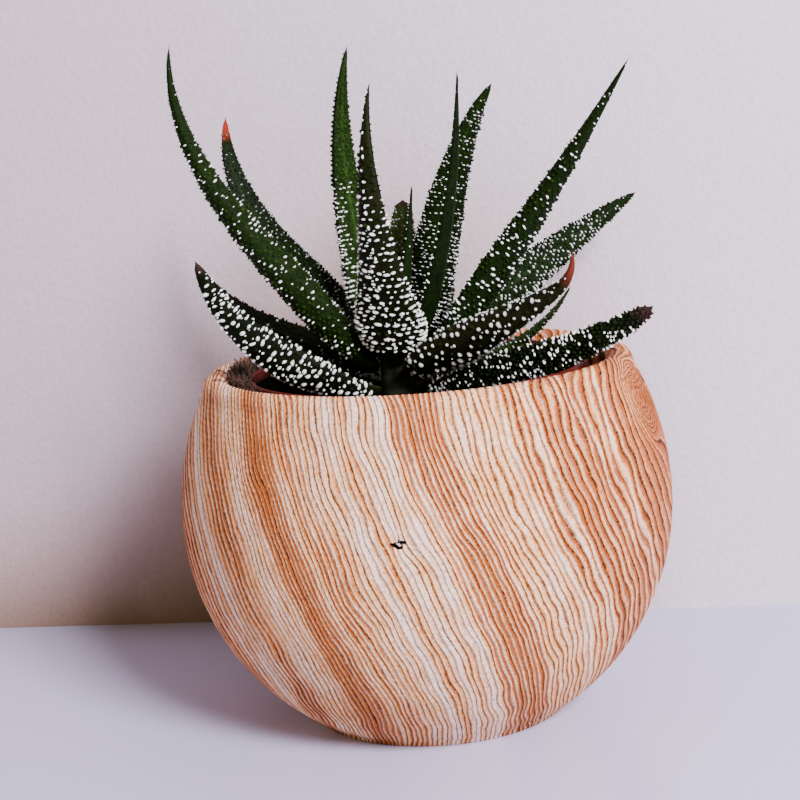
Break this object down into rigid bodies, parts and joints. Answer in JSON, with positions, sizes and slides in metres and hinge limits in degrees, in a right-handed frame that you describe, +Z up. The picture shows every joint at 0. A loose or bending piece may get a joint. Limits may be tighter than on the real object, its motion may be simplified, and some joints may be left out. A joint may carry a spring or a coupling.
{
  "type": "potted succulent",
  "caption": "Rosette of pearled, pointed succulent leaves in a thin plastic grow pot that stands inside a round turned wooden bowl with a tuft of coir beside it.",
  "frame": {"origin": "on the table, at the centre of the bowl's flat base", "axes": "+Z up, -Y towards the viewer of the picture, +X to the viewer's right"},
  "size_m": [0.1266, 0.1248, 0.1732],
  "materials": {
    "wood": "turned and wire-brushed softwood, open grain, matt",
    "pot_plastic": "thin moulded plastic in a terracotta colour, satin",
    "soil": "loose potting mix of bark and peat, rough",
    "coir": "loose brown coir fibre",
    "stem": "fleshy green stem",
    "leaf": "fleshy dark green skin with raised white warts, satin"
  },
  "bodies": {
    "root": {"planter_bowl": "wood", "nursery_pot": "pot_plastic", "potting_soil": "soil", "fibre_tuft": "coir", "rosette_stem": "stem", "leaf_01": "leaf", "leaf_02": "leaf", "leaf_03": "leaf", "leaf_04": "leaf", "leaf_05": "leaf", "leaf_06": "leaf", "leaf_07": "leaf", "leaf_08": "leaf", "leaf_09": "leaf", "leaf_10": "leaf", "leaf_11": "leaf", "leaf_12": "leaf", "leaf_13": "leaf", "leaf_14": "leaf", "leaf_15": "leaf", "leaf_16": "leaf", "leaf_17": "leaf", "leaf_18": "leaf"}
  },
  "joints": []
}
